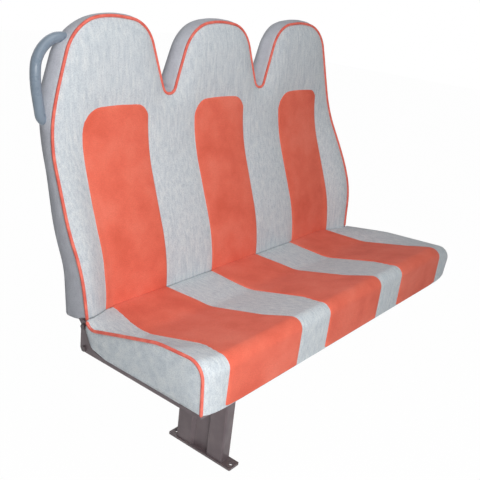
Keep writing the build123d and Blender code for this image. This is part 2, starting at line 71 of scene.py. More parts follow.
# Back: the lines of its depth, as (y, height) from its foot. The wings are its ends, which stand forward
FACE_LINE = [(0, 0, 0), (3, 89, 500), (109, 369, 500), (129, 704, 0)]
WING_LINE = [(-36, 0, 0), (-21, 134, 320), (113, 409, 320), (129, 704, 0)]
REAR_LINE = [(53, 0, 0), (54, 122, 170), (128, 335, 500), (200, 500, 200), (200, 704, 0)]
WING_START = 482.0
WING_FULL = 592.0
WALL_WING_MORE = 8.0
WALL_WING_SPAN = (40.0, 460.0)

# Back: how the face falls back at its edge, and how the rear's edge is rounded
EDGE_BACK = 4.0
HEAD_EDGE_BACK = 15.0
HEAD_FROM = 760.0
HEAD_FULL = 900.0
EDGE_REACH = 20.0
EDGE_PARTS = 40
WALL_EDGE_LESS = 0.8
WALL_EDGE_FROM = 450.0
REAR_ROUND = 6.0
REAR_ROUND_REACH = 9.0

# Back: the band between its face and its rear, its foot, and the rear's upper corner at the aisle
BAND_ROWS = 7
BAND_SWELL = 4.0
HEAD_BAND_SWELLS = (22.0, 23.0, 36.0)
HEAD_TOP_SHARE = 0.14
AISLEWARD_POWER = 4
WALLWARD_SHARE = 0.25
FOOT_LIFT = 12.0
FOOT_LIFT_POWER = 6
REAR_DROP = 6.0
REAR_DROP_POWER = 8
CORNER_DROP = 12.0
CORNER_FROM = -330.0
CORNER_FULL = -480.0
CORNER_POWER = 6

# Coloured panels of the back: left and right edge, each at the foot and at the top, and the top corners' radii
BACK_PANELS = [
    ((-512, -507), (-289, -287), (62, 38)),
    ((-103, -110), (112, 112), (52, 46)),
    ((307, 291), (516, 508), (60, 32)),
]
PANEL_TOP = 850.0
PANEL_FOOT = 1.0
PANEL_ARCH = 5.0
BACK_PANEL_GRID = (80, 130)
BACK_PANEL_POWER = 0.9

# Coloured panels of the cushion: left and right edge, each on the nose, on the top and at the rear. The edges pass
# from one to the next at a share of the way to the rear, over a length of it
SEAT_PANELS = [
    ((-537, -513, -490), (-263, -282, -290)),
    ((-137, -115, -110), (137, 115, 110)),
    ((263, 285, 290), (537, 515, 510)),
]
NOSE_TO_TOP = (0.22, 0.15)
TOP_TO_REAR = (0.66, 0.17)
SEAT_PANEL_SPAN = (0.004, 0.88)
SEAT_PANEL_GRID = (70, 170)

# All panels: how their rims stand off the skin
PANEL_SINK = 1.5
PANEL_STAND = 3.3
PANEL_RIM = 7.0
PANEL_DEPTH = 5.0

# Piping
PIPING_RADIUS = 3.9
PIPING_SIDES = 12
PIPING_SPACING = 5.0
PIPING_FOOT = 6.0
PIPING_PROUD = 1.0
TUBE_END = 0.05

# Grab handle: the tube's line seen from the front. Its upper end turns to the rear and in, to the side of the head
HANDLE_RADIUS = 12.5
HANDLE_SIDES = 32
HANDLE_SPACING = 3.0
HANDLE_Y = 270.0
HANDLE_LINE = [(-490, 998, 0), (-614.5, 1012, 62), (-614.5, 905, 250), (-597, 817, 20), (-490, 817, 0)]
HANDLE_TURN = (930.0, 1000.0)
HANDLE_REAR = 13.0
HANDLE_IN = 15.0

# Cushion: its sections square to X, as (y, z), in the middle and at its two ends. The keys are the corners at which
# all sections have the same shares
SEAT_FRONT = -306.0
SEAT_REAR = 123.0
SEAT_LOW = 306.5
END_LOW = 311.0
WALL_END_LOW = 318.0
SEAT_HALF = 606.0
SEAT_RUN = 1020.0
SECTION_POINTS = 240
SECTION_SHARES = (0.0, 0.20, 0.62, 0.83, 1.0)
MIDDLE_SECTION = [(-304, SEAT_LOW, 0), (SEAT_FRONT, 436, 27), (-32, 367, 150), (SEAT_REAR, 371, 5),
                  (SEAT_REAR - 9, 341, 25), (SEAT_REAR - 71, SEAT_LOW, 0)]
MIDDLE_KEYS = (0, 1, 2, 3, 5)
AISLE_SECTION = [(-292, END_LOW, 0), (-284, 429.5, 42), (-150, 423, 220), (98, 361, 34), (SEAT_REAR, 404, 4),
                 (107, 356, 40), (84, 321, 25), (25, END_LOW, 0)]
AISLE_KEYS = (0, 1, 3, 4, 7)
WALL_SECTION = [(-302, WALL_END_LOW, 0), (-309, 413, 34), (-62, 399, 600), (SEAT_REAR, 373, 4),
                (84, 330, 25), (25, WALL_END_LOW, 0)]
WALL_KEYS = (0, 1, 2, 3, 5)
WING_FORWARD = 33.0
END_REACH = 24.0
RISE_START = 480.0
STEP_X = 1.0
STEP_SHARE = 0.002

# Cushion: its two ends and the piping round them
END_ROWS = 11
END_SWELL = 4.0
END_SWELL_REACH = 24.0
END_CLOSE = 0.1
WELT_POINTS = 160
WELT_IN = 2.0
WELT_OUT = 3.0
WELT_RISE = 1.0
WELT_FOOT = 6.0
WALL_WELT_INSET = 9.0

# Filling: how it presses the skins out between the seams that hold them
PRESSURE = 4.0
PRESS_FRAMES = 20
PRESS_CAP = 6.0
PRESS_SPACING = 14.0
SEAM_HOLD = 9.0
SEAM_REACH = 14.0
SEAM_DIP = 1.6
SEAM_DIP_REACH = 6.0
REAR_HOLD = 0.78
REAR_HELD = 0.82

# Studio, in metres, watts and degrees. A lamp is its name, place, aim, size and power
FLOOR_HALF = 9.0
FLOOR_COLOUR = (0.86, 0.86, 0.86, 1)
FLOOR_ROUGHNESS = 0.9
FLOOR_GLOW = 0.985
SKY_LIGHT = 0.17
SKY_SEEN = 1.0
LAMPS = [
    ("key", (-1.3, -1.4, 1.15), (-0.3, 0.1, 0.5), 0.8, 25.5),
    ("top", (-0.5, -0.6, 2.3), (-0.2, -0.1, 0.4), 1.2, 12),
    ("fill", (2.6, -2.4, 1.6), (0, 0, 0.6), 2.5, 1),
    ("rear", (0.5, 3.0, 2.6), (0, 0, 0.6), 2.5, 18),
]
CAMERA_PLACE = (-1.6005, -1.0784, 1.1766)
CAMERA_AZIMUTH = -53.45
CAMERA_ELEVATION = 20.17
CAMERA_ROLL = 6.66
LENS_MM = 53.33
SENSOR_MM = 36.0
FAR_CLIP = 100.0


def unit(vectors):
    """Vectors divided by their lengths."""
    return vectors / np.linalg.norm(vectors, axis=-1, keepdims=True)


def smooth(t):
    """The cubic that leaves 0 and reaches 1 with no slope: 3 t^2 - 2 t^3, held outside 0 to 1."""
    t = np.clip(t, 0.0, 1.0)
    return t * t * (3.0 - 2.0 * t)


def rounded(corners):
    """Points along straight runs joined by tangent arcs at the corners. An arc turns its starting radius into its
    ending one in equal angles."""
    points = []
    for i, (u, v, radius) in enumerate(corners):
        here = np.array([u, v], float)
        if radius == 0:
            points.append(here[None])
            continue
        before = unit(np.array(corners[i - 1][:2]) - here)
        after = unit(np.array(corners[(i + 1) % len(corners)][:2]) - here)
        half = math.acos(float(np.clip(before @ after, -1, 1))) / 2
        centre = here + unit(before + after) * radius / math.sin(half)
        start = here + before * radius / math.tan(half) - centre
        end = here + after * radius / math.tan(half) - centre
        turn = math.pi - 2 * half
        share = np.linspace(0, 1, ARC_STEPS)[:, None]
        arc = (np.sin((1 - share) * turn) * start + np.sin(share * turn) * end) / math.sin(turn)
        points.append(centre + arc)
    return np.vstack(points)


def lengths(points):
    """How far along a line each of its points is."""
    return np.concatenate([[0.0], np.cumsum(np.linalg.norm(np.diff(points, axis=0), axis=1))])


def even(points, spacing):
    """The same line with its points a nearly equal distance apart."""
    run = lengths(points)
    places = np.linspace(0, run[-1], max(2, int(round(run[-1] / spacing)) + 1))
    return np.stack([np.interp(places, run, column) for column in points.T], -1)


def quads(rows, columns, close_columns=False):
    """Faces of a grid of points: each joins a point to its neighbours in the next column and row."""
    index = np.arange(rows * columns).reshape(rows, columns)
    if close_columns:
        index = np.hstack([index, index[:, :1]])
    return np.stack([index[:-1, :-1], index[:-1, 1:], index[1:, 1:], index[1:, :-1]], -1).reshape(-1, 4)


def rim_of(grid):
    """The border of a grid, once round."""
    return np.concatenate([grid[0, :-1], grid[:-1, -1], grid[-1, :0:-1], grid[:0:-1, 0]])


def shell(front, rear, band=()):
    """A closed skin: two grids of the same size, and between their rims the rows of points in band."""
    rows, columns = front.shape[:2]
    index = np.arange(rows * columns).reshape(rows, columns)
    rim = rim_of(index)
    loops = [rim]
    loops += [2 * index.size + k * len(rim) + np.arange(len(rim)) for k in range(len(band))]
    loops.append(index.size + rim)
    sheet = quads(rows, columns)
    faces = [sheet, index.size + sheet[:, ::-1]]
    for first, second in zip(loops, loops[1:]):
        faces.append(np.stack([first, second, np.roll(second, -1), np.roll(first, -1)], -1))
    points = np.vstack([front.reshape(-1, 3), rear.reshape(-1, 3), np.reshape(band, (-1, 3))])
    return points, np.vstack(faces)


def put(name, points, faces):
    """A smooth mesh object, its faces turned outwards: the sum of the faces' signed volumes is positive."""
    a, b, c, d = (points[faces[:, k]] for k in range(4))
    volume = np.einsum("ij,ij->i", a, np.cross(b, c)).sum() + np.einsum("ij,ij->i", a, np.cross(c, d)).sum()
    if volume < 0:
        faces = faces[:, ::-1]
    mesh = bpy.data.meshes.new(name)
    mesh.vertices.add(len(points))
    mesh.vertices.foreach_set("co", (points * MM).astype(np.float32).ravel())
    mesh.loops.add(faces.size)
    mesh.loops.foreach_set("vertex_index", faces.astype(np.int32).ravel())
    mesh.polygons.add(len(faces))
    mesh.polygons.foreach_set("loop_start", np.arange(0, faces.size, 4, dtype=np.int32))
    mesh.polygons.foreach_set("use_smooth", np.ones(len(faces), bool))
    mesh.update(calc_edges=True)
    mesh.validate()
    piece = bpy.data.objects.new(name, mesh)
    bpy.context.scene.collection.objects.link(piece)
    return piece


def tube(path, radius, lean, sides):
    """A circle carried along a path and closed to a point at both ends: each ring is the path's point plus radius
    times cos and sin of the ring's angle on two directions square to the path, the first as near to lean as can be."""
    tangent = unit(np.gradient(path, axis=0))
    normal = unit(lean - (tangent @ lean)[:, None] * tangent)
    other = np.cross(tangent, normal)
    angle = np.linspace(0, 2 * np.pi, sides, endpoint=False)[None, :, None]
    size = np.full(len(path), radius)
    size[[0, -1]] = radius * TUBE_END
    ring = np.cos(angle) * normal[:, None] + np.sin(angle) * other[:, None]
    rings = path[:, None] + size[:, None, None] * ring
    return rings.reshape(-1, 3), quads(len(path), sides, close_columns=True)


# The back's outline: right side up, over the three heads to the left, left side down
right_side = [(FOOT_X, BACK_Z, RIGHT_FOOT_ROUND), *SIDE_LINE]
left_side = [(-x, z, radius) for x, z, radius in SIDE_LINE[::-1]] + [(-FOOT_X, BACK_Z, LEFT_FOOT_ROUND)]
crown = []
for place, (lower, left_round, right_round) in zip(PLACES[::-1], HEADS[::-1]):
    corner_z = HEAD_TOP - HEAD_CORNER_FALL - lower
    crown += [(place + HEAD_CORNER_X, corner_z, right_round),
              (place, HEAD_TOP + HEAD_CROWN - lower, HEAD_CROWN_ROUND),
              (place - HEAD_CORNER_X, corner_z, left_round)]
    if place > PLACES[0]:
        crown += [(place - x, NOTCH_BOTTOM, NOTCH_ROUND) for x in NOTCH_CORNERS]
outline = even(rounded(right_side + crown + left_side), OUTLINE_SPACING)
face_line, wing_line, rear_line = (rounded(line) for line in (FACE_LINE, WING_LINE, REAR_LINE))

right_x, right_z = outline[:np.argmax(outline[:, 1] > SHOULDER_Z) + 1].T
left_x, left_z = outline[::-1][:np.argmax(outline[::-1, 1] > SHOULDER_Z) + 1].T
shoulders = np.flatnonzero(outline[:, 1] > SHOULDER_Z)
over_top = outline[shoulders[0]:shoulders[-1] + 1][::-1]


def half_width(side, z):
    """The back's half width at a height, on the side that has the sign of side: above the shoulders it stays."""
    return np.where(side > 0, np.interp(z, right_z, right_x), -np.interp(z, left_z, left_x))


def wing_share(x):
    """0 in the middle of the bench and 1 at its ends, joined by a cubic."""
    return smooth((np.abs(x) - WING_START) / (WING_FULL - WING_START))


def head_share(z):
    """0 below the heads and 1 on them, joined by a cubic."""
    return smooth((z - HEAD_FROM) / (HEAD_FULL - HEAD_FROM))


def face_y(x, z):
    """The back's front face: the middle's line, passing to the wing's line towards both ends. The wall end's wing
    stands further forward by a squared sine of the height."""
    h = z - BACK_Z
    middle = np.interp(h, face_line[:, 1], face_line[:, 0])
    wing = np.interp(h, wing_line[:, 1], wing_line[:, 0])
    span = np.clip((h - WALL_WING_SPAN[0]) / (WALL_WING_SPAN[1] - WALL_WING_SPAN[0]), 0, 1)
    wing = wing - WALL_WING_MORE * np.sin(np.pi * span) ** 2 * (x > 0)
    return BACK_Y + middle + (wing - middle) * wing_share(x)


def rear_y(z):
    """The back's rear face."""
    return BACK_Y + np.interp(z - BACK_Z, rear_line[:, 1], rear_line[:, 0])


def edge_distance(x, z):
    """How far points are inside the back's outline, from the nearest of its points."""
    flat = np.stack([x.ravel(), z.ravel()], -1).astype(np.float32)
    border = outline.astype(np.float32)
    near = [np.hypot(part[:, :1] - border[:, 0], part[:, 1:] - border[:, 1]).min(1)
            for part in np.array_split(flat, EDGE_PARTS)]
    return np.concatenate(near).reshape(x.shape)


def edge_back(x, z):
    """How far the face falls back at its edge: more round the heads than lower down, and less at the wall end."""
    back = EDGE_BACK + (HEAD_EDGE_BACK - EDGE_BACK) * head_share(z)
    return back * (1 - WALL_EDGE_LESS * smooth((x - WALL_EDGE_FROM) / (FOOT_X - WALL_EDGE_FROM)))


def crowned_y(x, z, edge):
    """The front face with its crown: it falls back towards the edge as exp(-edge / reach)."""
    return face_y(x, z) + edge_back(x, z) * np.exp(-edge / EDGE_REACH)


def panel_sides(panel, z):
    """A back panel's left and right edges at heights: they lean from foot to top."""
    left, right, _ = panel
    lean = (z - BACK_Z) / (PANEL_TOP - BACK_Z)
    return left[0] + (left[1] - left[0]) * lean, right[0] + (right[1] - right[0]) * lean


def panel_top(panel, share):
    """A back panel's top at shares of the way across it: it falls by radius - sqrt(radius^2 - (radius - edge)^2) at
    its round corners, and by a parabola between them."""
    left, right, radii = panel
    width = right[1] - left[1]
    fall = np.zeros_like(share)
    for edge, radius in ((share * width, radii[0]), ((1 - share) * width, radii[1])):
        inside = np.clip(radius - edge, 0, radius)
        fall = np.maximum(fall, radius - np.sqrt(radius ** 2 - inside ** 2))
    return PANEL_TOP - (fall + PANEL_ARCH * (2 * share - 1) ** 2)


def panel_lift(edge):
    """How far a panel stands off the skin at a distance from its edge: a quarter round whose foot dips into it."""
    return PANEL_STAND * np.sqrt(1 - (1 - np.clip(edge / PANEL_RIM, 0, 1)) ** 2) - PANEL_SINK


def back_seam(x, z):
    """How far points of the back's face are from the nearest panel's edge."""
    near = []
    for panel in BACK_PANELS:
        left, right = panel_sides(panel, z)
        high = panel_top(panel, np.clip((x - left) / (right - left), 0, 1))
        near.append(np.abs(np.minimum(np.minimum(x - left, right - x), high - z)))
    return np.min(near, axis=0)


def seat_edge(places, share):
    """An edge of a seat panel: its places on the nose, on the top and at the rear, joined by cubics."""
    nose, top, rear = places
    to_top = smooth((share - NOSE_TO_TOP[0]) / NOSE_TO_TOP[1])
    to_rear = smooth((share - TOP_TO_REAR[0]) / TOP_TO_REAR[1])
    return nose + (top - nose) * to_top + (rear - top) * to_rear


def seat_seam(x, share):
    """How far points of the cushion's skin are from the nearest panel's edge."""
    return np.min([np.abs(x - seat_edge(places, share)) for panel in SEAT_PANELS for places in panel], axis=0)


def seam_share(distance):
    """How much of the filling's push is left near a seam: 1 - exp(-(distance / reach)^2)."""
    return 1 - np.exp(-(distance / SEAM_REACH) ** 2)


def seam_dip(distance):
    """How deep the thread draws the skin in near a seam: dip * exp(-(distance / reach)^2)."""
    return SEAM_DIP * np.exp(-(distance / SEAM_DIP_REACH) ** 2)


def pressed(skin, free):
    """How far each point of a closed skin's first grid moves when the filling presses it out: a cloth with no weight,
    fixed at the grid's rim and where it isn't free, under a steady pressure. Long moves are shortened by
    cap / (cap + length)."""
    points, faces = shell(*skin)
    held = np.ones(free.shape, bool)
    held[1:-1, 1:-1] = ~free[1:-1, 1:-1]
    held = np.concatenate([held.ravel(), np.ones(len(points) - held.size, bool)])
    trial = put("trial_skin", points, faces)
    group = trial.vertex_groups.new(name="held")
    group.add(np.flatnonzero(held).tolist(), 1.0, "REPLACE")
    cloth = trial.modifiers.new("filling", "CLOTH")
    cloth.settings.vertex_group_mass = group.name
    cloth.settings.use_pressure = True
    cloth.settings.uniform_pressure_force = PRESSURE
    cloth.settings.effector_weights.gravity = 0.0
    cloth.point_cache.frame_end = PRESS_FRAMES
    for step in range(1, PRESS_FRAMES + 1):
        bpy.context.scene.frame_set(step)
    settled = trial.evaluated_get(bpy.context.evaluated_depsgraph_get())
    places = np.empty(3 * len(points), np.float32)
    settled.data.vertices.foreach_get("co", places)
    move = places.reshape(-1, 3) / MM - points
    mesh = trial.data
    bpy.data.objects.remove(trial)
    bpy.data.meshes.remove(mesh)
    bpy.context.scene.frame_set(1)
    move = move * PRESS_CAP / (PRESS_CAP + np.linalg.norm(move, axis=1, keepdims=True))
    return move[:free.size].reshape(*free.shape, 3)


def spline_weights(t):
    """The four weights of a uniform cubic B-spline."""
    before, after = (1 - t) ** 3, t ** 3
    return before / 6, (3 * t ** 3 - 6 * t ** 2 + 4) / 6, (-3 * t ** 3 + 3 * t ** 2 + 3 * t + 1) / 6, after / 6


def between(field, across, along):
    """A grid's values read between its points, at shares of its columns and rows, as a cubic B-spline."""
    rows, columns = field.shape[:2]
    row, column = along * (rows - 1), across * (columns - 1)
    row_start, column_start = np.floor(row).astype(int), np.floor(column).astype(int)
    total = 0.0
    for i, row_weight in enumerate(spline_weights(row - row_start)):
        for j, column_weight in enumerate(spline_weights(column - column_start)):
            picked = field[np.clip(row_start + i - 1, 0, rows - 1), np.clip(column_start + j - 1, 0, columns - 1)]
            total = total + picked * (row_weight * column_weight)[..., None]
    return total


def back_columns(spacing):
    """The columns of the back's grid: the height of each one's top, and its place as a share of the half width."""
    x, z = even(over_top, spacing).T
    return z, x / half_width(x, z)


def back_move(x, z):
    """How the filling and the seams move points of the back's face."""
    distance = back_seam(x, z)
    move = np.zeros((*np.shape(x), 3))
    if back_field is not None:
        tops, spread = back_columns(PRESS_SPACING)
        shares = np.linspace(0, 1, len(spread))
        across = np.interp(x / half_width(x, z), spread, shares)
        along = np.clip((z - BACK_Z) / (np.interp(across, shares, tops) - BACK_Z), 0, 1)
        move = between(back_field, across, along) * seam_share(distance)[..., None]
    move[..., 1] += seam_dip(distance)
    return move


def back_pad(spacing):
    """The padded back: its face, its rear and the band between them. Columns run up from the foot to the outline's
    top, and narrow with the sides. The face's foot is lifted at the aisle, and the rear's foot and its upper corner at
    the aisle are lower, by powers of the way up. The band swells by a sine, on the heads most where it is turned to
    the aisle."""
    tops, spread = back_columns(spacing)
    share = np.linspace(0, 1, int((HEAD_TOP - BACK_Z) / spacing))[:, None]
    z = BACK_Z + (tops - BACK_Z) * share
    x = spread * half_width(spread, z)
    edge = edge_distance(x, z)
    edge[-1] = 0.0
    edge[:, [0, -1]] = 0.0
    corner = CORNER_DROP * smooth((x - CORNER_FROM) / (CORNER_FULL - CORNER_FROM)) * share ** CORNER_POWER
    rear_z = z - REAR_DROP * (1 - share) ** REAR_DROP_POWER - corner
    rear = np.stack([x, rear_y(z) - REAR_ROUND * np.exp(-edge / REAR_ROUND_REACH), rear_z], -1)
    move = back_move(x, z)
    move[-1] = 0.0
    move[:, [0, -1]] = 0.0
    z = z + FOOT_LIFT * wing_share(x) * (x < 0) * (1 - share) ** FOOT_LIFT_POWER
    front = np.stack([x, crowned_y(x, z, edge), z], -1) + move
    first, last = rim_of(front), rim_of(rear)
    runs = np.roll(first, -1, axis=0) - np.roll(first, 1, axis=0)
    outward = unit(np.stack([runs[:, 2], np.zeros(len(first)), -runs[:, 0]], -1))
    outward *= np.sign((outward * first).sum(1).mean())
    wallward = outward[:, 0]
    turned = np.where(wallward < 0, wallward ** AISLEWARD_POWER, WALLWARD_SHARE * wallward)
    sides = HEAD_TOP_SHARE + (1 - HEAD_TOP_SHARE) * turned
    head_swell = np.interp(first[:, 0], PLACES, HEAD_BAND_SWELLS)
    swell = BAND_SWELL + (head_swell - BAND_SWELL) * head_share(first[:, 2]) * sides
    band = []
    for part in np.linspace(0, 1, BAND_ROWS + 2)[1:-1]:
        band.append(first + (last - first) * part + outward * (swell * math.sin(math.pi * part))[:, None])
    return front, rear, np.array(band)


def back_panel(panel):
    """One coloured panel on the back's face and its reverse. Columns are closer at the sides, by a cosine."""
    columns, rows = BACK_PANEL_GRID
    share = (1 - np.cos(np.linspace(0, np.pi, columns))) / 2
    high = panel_top(panel, share)
    foot = BACK_Z + PANEL_FOOT
    z = foot + (high - foot) * np.linspace(0, 1, rows)[:, None] ** BACK_PANEL_POWER
    left, right = panel_sides(panel, z)
    x = left + (right - left) * share
    edge = np.minimum(np.minimum(x - left, right - x), high - z)
    face = np.stack([x, crowned_y(x, z, edge_distance(x, z)), z], -1) + back_move(x, z)
    rearward = np.array([0.0, 1.0, 0.0])
    return face - panel_lift(edge)[..., None] * rearward, face + PANEL_DEPTH * rearward


# The filling's push on the back's face, then the back's pad, whose band and rear are of the plain cloth, its darker
# tone partly painted shade
back_field = None
skin = back_pad(PRESS_SPACING)
back_field = pressed(skin, back_seam(skin[0][..., 0], skin[0][..., 2]) > SEAM_HOLD)
skin = back_pad(SKIN_SPACING)
pad_points, pad_faces = shell(*skin)
pad = put("back_pad", pad_points, pad_faces)
# 1 on the band and rear: plainer cloth whose darker tone is partly painted shade of the sides turned from the light
plain = np.ones(len(pad_points), np.float32)
plain[:skin[0][..., 0].size] = 0.0
pad.data.attributes.new("plain_shaded_cloth", "FLOAT", "POINT").data.foreach_set("value", plain)
back_panels = [put("back_panel_" + str(number), *shell(*back_panel(panel)))
               for number, panel in enumerate(BACK_PANELS, 1)]

# Piping round the front of the back, and the handle
piping_x, piping_z = outline[(outline[:, 1] > BACK_Z + PIPING_FOOT)].T
piping_y = face_y(piping_x, piping_z) + edge_back(piping_x, piping_z) - PIPING_PROUD
piping_path = even(np.stack([piping_x, piping_y, piping_z], -1), PIPING_SPACING)
back_piping = put("back_welt", *tube(piping_path, PIPING_RADIUS, np.array([0.0, 1.0, 0.0]), PIPING_SIDES))

handle_x, handle_z = even(rounded(HANDLE_LINE), HANDLE_SPACING).T
turned = smooth((handle_z - HANDLE_TURN[0]) / (HANDLE_TURN[1] - HANDLE_TURN[0]))
handle_path = np.stack([handle_x + HANDLE_IN * turned, HANDLE_Y + HANDLE_REAR * turned, handle_z], -1)
handle = put("grab_tube", *tube(handle_path, HANDLE_RADIUS, np.array([0.0, 1.0, 0.0]), HANDLE_SIDES))

section_share = np.linspace(0, 1, SECTION_POINTS)


def section_points(corners, keys):
    """A section's line at equal shares: at the key corners the share is set, and between them it runs with length."""
    line = rounded(corners)
    run = lengths(line)
    key_points = np.array([corners[key][:2] for key in keys])
    nearest = np.linalg.norm(line[None] - key_points[:, None], axis=-1).argmin(1)
    places = np.interp(section_share, SECTION_SHARES, run[nearest])
    return np.stack([np.interp(places, run, column) for column in line.T], -1)


middle_section = section_points(MIDDLE_SECTION, MIDDLE_KEYS)
aisle_section = section_points(AISLE_SECTION, AISLE_KEYS)
wall_section = section_points(WALL_SECTION, WALL_KEYS)


def seat_surface(x, share):
    """The cushion's upper skin at a place across it and a share of the way from its front edge to its rear one. The
    middle's section rises to the end's one over a broad bolster and is drawn back to it over a short one, and the
    rear comes forward to both ends as the back does."""
    middle, aisle, wall = (np.stack([np.interp(share, section_share, column) for column in section.T], -1)
                           for section in (middle_section, aisle_section, wall_section))
    end = np.where((x < 0)[..., None], aisle, wall)
    drawn = np.exp(-(SEAT_HALF - np.abs(x)) / END_REACH)
    risen = smooth((np.abs(x) - RISE_START) / (SEAT_HALF - RISE_START))
    y = middle[..., 0] + (end[..., 0] - middle[..., 0]) * drawn
    z = middle[..., 1] + (end[..., 1] - middle[..., 1]) * risen
    back_part = np.clip((y - SEAT_FRONT) / (SEAT_REAR - SEAT_FRONT), 0, 1)
    return np.stack([x, y - WING_FORWARD * wing_share(x) * back_part ** 2, z], -1)


def seat_normal(x, share):
    """The upper skin's outward normal: the cross product of small steps along its two parameters."""
    low, high = np.clip(share - STEP_SHARE, 0, 1), np.clip(share + STEP_SHARE, 0, 1)
    across = seat_surface(x + STEP_X, share) - seat_surface(x - STEP_X, share)
    return unit(np.cross(across, seat_surface(x, high) - seat_surface(x, low)))


def seat_move(x, share):
    """How the filling and the seams move points of the cushion's upper skin. The rear edge is held."""
    distance = seat_seam(x, share)
    move = -seam_dip(distance)[..., None] * seat_normal(x, share)
    if seat_field is not None:
        field = between(seat_field, share, (x + SEAT_HALF) / (2 * SEAT_HALF))
        loose = 1 - smooth((share - REAR_HOLD) / (REAR_HELD - REAR_HOLD))
        move = move + field * (seam_share(distance) * loose)[..., None]
    return move


def seat_grid(spacing):
    """Places across the cushion, and shares of the way from its front edge to its rear one, on a regular grid."""
    across = np.linspace(-SEAT_HALF, SEAT_HALF, int(2 * SEAT_HALF / spacing))
    return np.meshgrid(across, np.linspace(0, 1, int(SEAT_RUN / spacing)), indexing="ij")


def seat_pad(spacing):
    """The padded cushion: the upper skin, a flat underside and two ends that swell a little, by
    1 - exp(-(edge / reach)^2) of the distance from an end's border."""
    x, share = seat_grid(spacing)
    upper = seat_surface(x, share)
    upper[1:-1, 1:-1] += seat_move(x, share)[1:-1, 1:-1]
    start, end = upper[:, :1], upper[:, -1:]
    lower = start + (end - start) * share[..., None]
    end_low = np.where(x < 0, END_LOW, WALL_END_LOW)
    lower[..., 2] = SEAT_LOW + (end_low - SEAT_LOW) * np.exp(-(SEAT_HALF - np.abs(x)) / END_REACH)
    first, last = rim_of(upper), rim_of(lower)
    ends = np.sign(first[:, 0]) * (np.abs(first[:, 0]) > SEAT_HALF - END_CLOSE)
    border = np.vstack([first, last])
    band = []
    for part in np.linspace(0, 1, END_ROWS + 2)[1:-1]:
        row = first + (last - first) * part
        edge = np.linalg.norm(row[:, None] - border[None], axis=-1).min(1)
        row[:, 0] += ends * END_SWELL * (1 - np.exp(-(edge / END_SWELL_REACH) ** 2))
        band.append(row)
    return upper, lower, np.array(band)


def seat_panel(panel):
    """One coloured panel over the cushion's top and nose and its reverse. Points across are closer at the sides, by a
    sine."""
    across, along = SEAT_PANEL_GRID
    share = np.linspace(*SEAT_PANEL_SPAN, along)[None]
    left, right = (seat_edge(places, share) for places in panel)
    x = left + (right - left) * (1 + np.sin(np.linspace(-np.pi / 2, np.pi / 2, across))[:, None]) / 2
    share = np.broadcast_to(share, x.shape)
    normal = seat_normal(x, share)
    surface = seat_surface(x, share) + seat_move(x, share)
    lift = panel_lift(np.minimum(x - left, right - x))[..., None]
    return surface + normal * lift, surface - normal * PANEL_DEPTH


def seat_welt(sign, inset):
    """The piping round one end: the end's upper line from the rear edge to the foot of the front, moved into the end
    by inset along the line's own normal."""
    share = np.linspace(0.0, SECTION_SHARES[3], WELT_POINTS)
    path = seat_surface(np.full(len(share), sign * SEAT_HALF), share)
    path[:, 0] -= sign * WELT_IN
    path = even(np.vstack([path[:1] - [0.0, 0.0, WELT_FOOT], path]), PIPING_SPACING)
    along = unit(np.gradient(path, axis=0))
    path[:, 0] += sign * min(inset, WELT_OUT)
    path[:, 1] += inset * along[:, 2]
    path[:, 2] += WELT_RISE - inset * along[:, 1]
    return tube(path, PIPING_RADIUS, np.array([1.0, 0.0, 0.0]), PIPING_SIDES)


# The filling's push on the cushion's upper skin, then the cushion
seat_field = None
across, share = seat_grid(PRESS_SPACING)
seat_field = pressed(seat_pad(PRESS_SPACING), (seat_seam(across, share) > SEAM_HOLD) & (share < REAR_HELD))
cushion = put("seat_pad", *shell(*seat_pad(SKIN_SPACING)))
seat_panels = [put("seat_panel_" + str(number), *shell(*seat_panel(panel)))
               for number, panel in enumerate(SEAT_PANELS, 1)]
seat_welts = [put("seat_welt_left", *seat_welt(-1, 0.0)), put("seat_welt_right", *seat_welt(1, WALL_WELT_INSET))]


def linear(red, green, blue):
    """A colour of 0 to 255 as the shader takes it: ((c + 0.055) / 1.055)^2.4, or c / 12.92 where dark."""
    colour = np.array([red, green, blue]) / 255.0
    value = np.where(colour > 0.04045, ((colour + 0.055) / 1.055) ** 2.4, colour / 12.92)
    return (*value.tolist(), 1.0)


